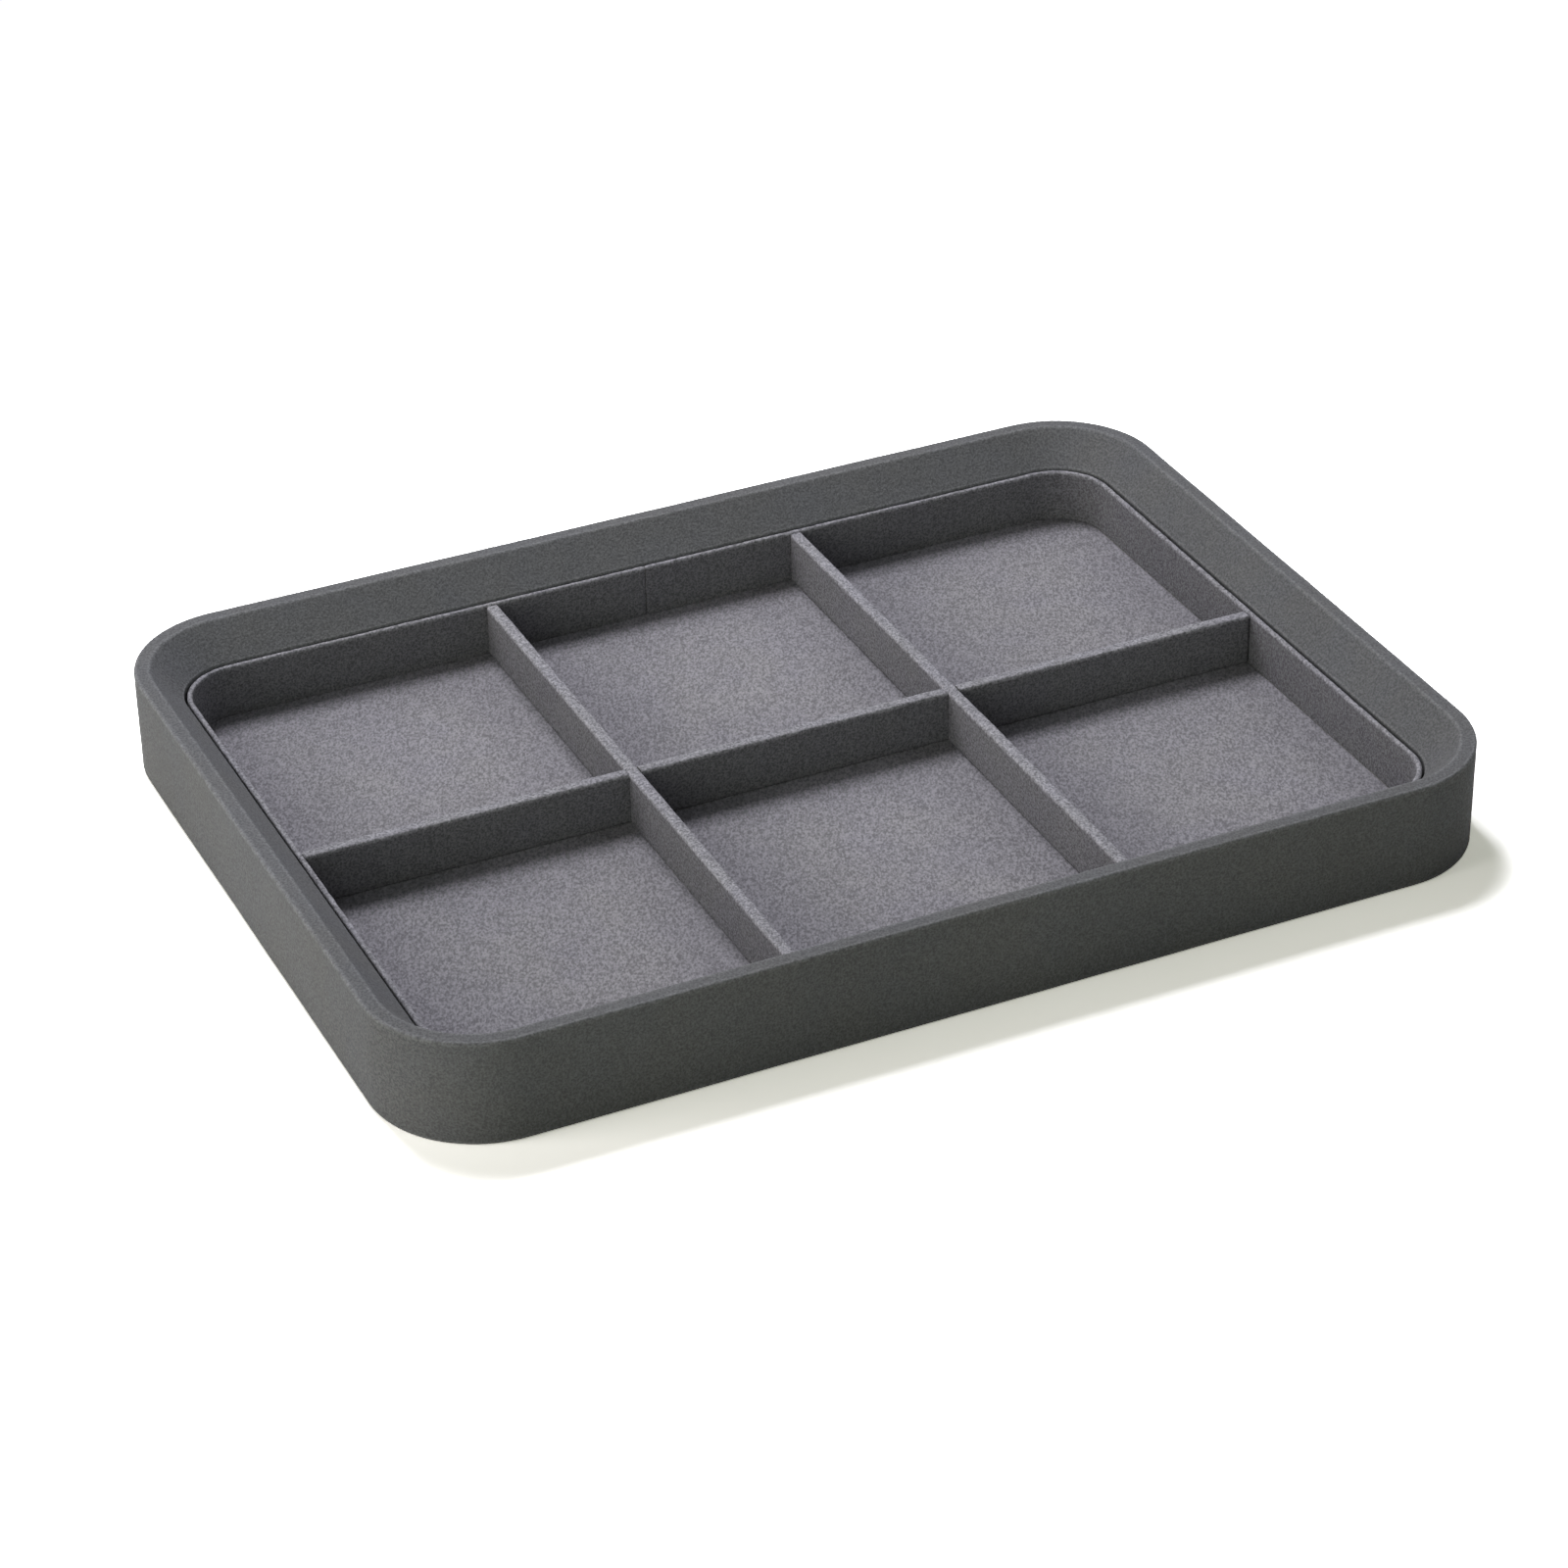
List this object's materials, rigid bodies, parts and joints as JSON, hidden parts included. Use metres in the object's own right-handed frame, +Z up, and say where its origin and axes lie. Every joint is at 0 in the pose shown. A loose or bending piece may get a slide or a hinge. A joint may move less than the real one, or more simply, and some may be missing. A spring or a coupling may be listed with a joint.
{
  "type": "jewelry tray",
  "caption": "Low rounded rectangular jewelry tray in grey microfibre with a sloped rim, a lift-out walled insert and slotted lift-out dividers that part it into open compartments.",
  "frame": {"origin": "middle of the underside felt that the tray stands on", "axes": "+X along the tray's length, -Y to the front, +Z up"},
  "size_m": [0.35, 0.258, 0.034],
  "materials": {
    "tray_microfibre": "matt short-nap suede, dark green-grey",
    "insert_microfibre": "matt short-nap suede, violet-grey",
    "underside_felt": "matt pressed felt, near black",
    "fibreboard": "raw medium-density fibreboard",
    "greyboard": "raw pressed greyboard",
    "brad_steel": "drawn wire"
  },
  "bodies": {
    "tray": {"outer_frame": "fibreboard", "outer_frame_cover": "tray_microfibre", "base_board": "fibreboard", "base_brads": "brad_steel", "well_lining": "tray_microfibre", "underside_felt": "underside_felt"},
    "insert": {"insert_wall": "greyboard", "insert_wall_cover": "insert_microfibre", "insert_floor_board": "greyboard", "insert_floor_lining": "insert_microfibre"},
    "cross_divider": {"cross_divider_board": "greyboard", "cross_divider_cover": "insert_microfibre"},
    "left_divider": {"left_divider_board": "greyboard", "left_divider_cover": "insert_microfibre"},
    "right_divider": {"right_divider_board": "greyboard", "right_divider_cover": "insert_microfibre"}
  },
  "joints": [
    {"name": "insert_lift", "type": "slide", "parent": "tray", "child": "insert", "axis": [0, 0, 1], "range_m": [0, 0.05]},
    {"name": "cross_divider_lift", "type": "slide", "parent": "insert", "child": "cross_divider", "axis": [0, 0, 1], "range_m": [0, 0.03]},
    {"name": "left_divider_lift", "type": "slide", "parent": "cross_divider", "child": "left_divider", "axis": [0, 0, 1], "range_m": [0, 0.03]},
    {"name": "right_divider_lift", "type": "slide", "parent": "cross_divider", "child": "right_divider", "axis": [0, 0, 1], "range_m": [0, 0.03]}
  ]
}
